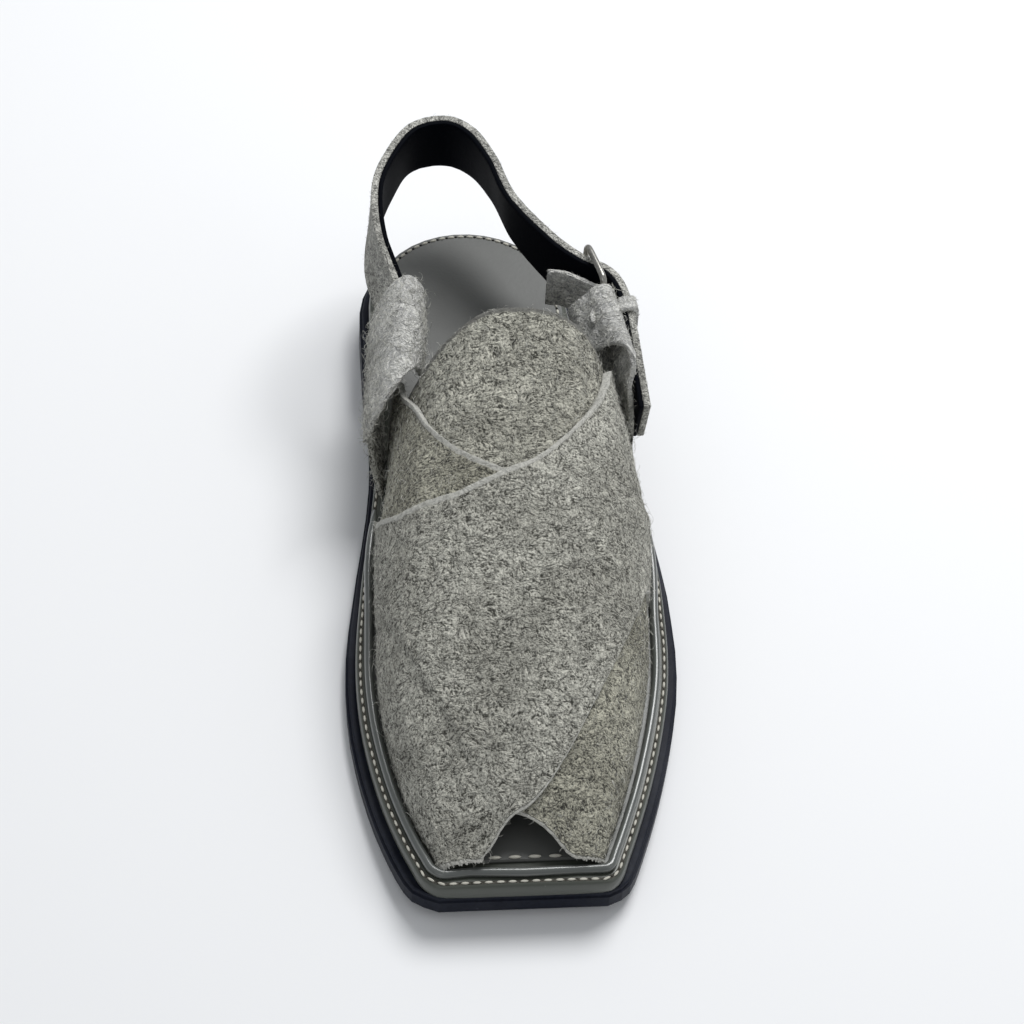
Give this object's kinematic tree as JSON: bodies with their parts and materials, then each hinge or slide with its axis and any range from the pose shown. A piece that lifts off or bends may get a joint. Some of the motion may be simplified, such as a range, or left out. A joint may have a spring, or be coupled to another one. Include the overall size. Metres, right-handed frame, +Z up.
{
  "type": "peshawari chappal",
  "caption": "Closed sandal, left shoe: two wide suede bands crossing over a domed tongue with a V at the toe, leather platform on a rubber sole with a low heel, buckled strap round the heel.",
  "frame": {"origin": "on the floor under the middle of the heel, where the heel's flat face meets the floor", "axes": "+Z up, -Y towards the toe, +X towards the lateral side of this left shoe"},
  "size_m": [0.1122, 0.298, 0.0796],
  "materials": {
    "suede": "hairy grey suede, matt",
    "rubber": "navy-black rubber, satin",
    "platform_leather": "olive-grey leather edge, satin",
    "insole_leather": "smooth dark grey leather",
    "rand_leather": "glossy rolled grey leather",
    "steel": "worn steel wire"
  },
  "bodies": {
    "root": {"outsole": "rubber", "midsole": "platform_leather", "insole": "insole_leather", "rand": "rand_leather", "tongue": "suede", "upper": "suede", "medial_loop": "suede", "lateral_loop": "suede", "heel_strap": "suede", "keeper": "suede", "chape": "suede", "buckle_frame": "steel", "buckle_prong": "steel"}
  },
  "joints": []
}
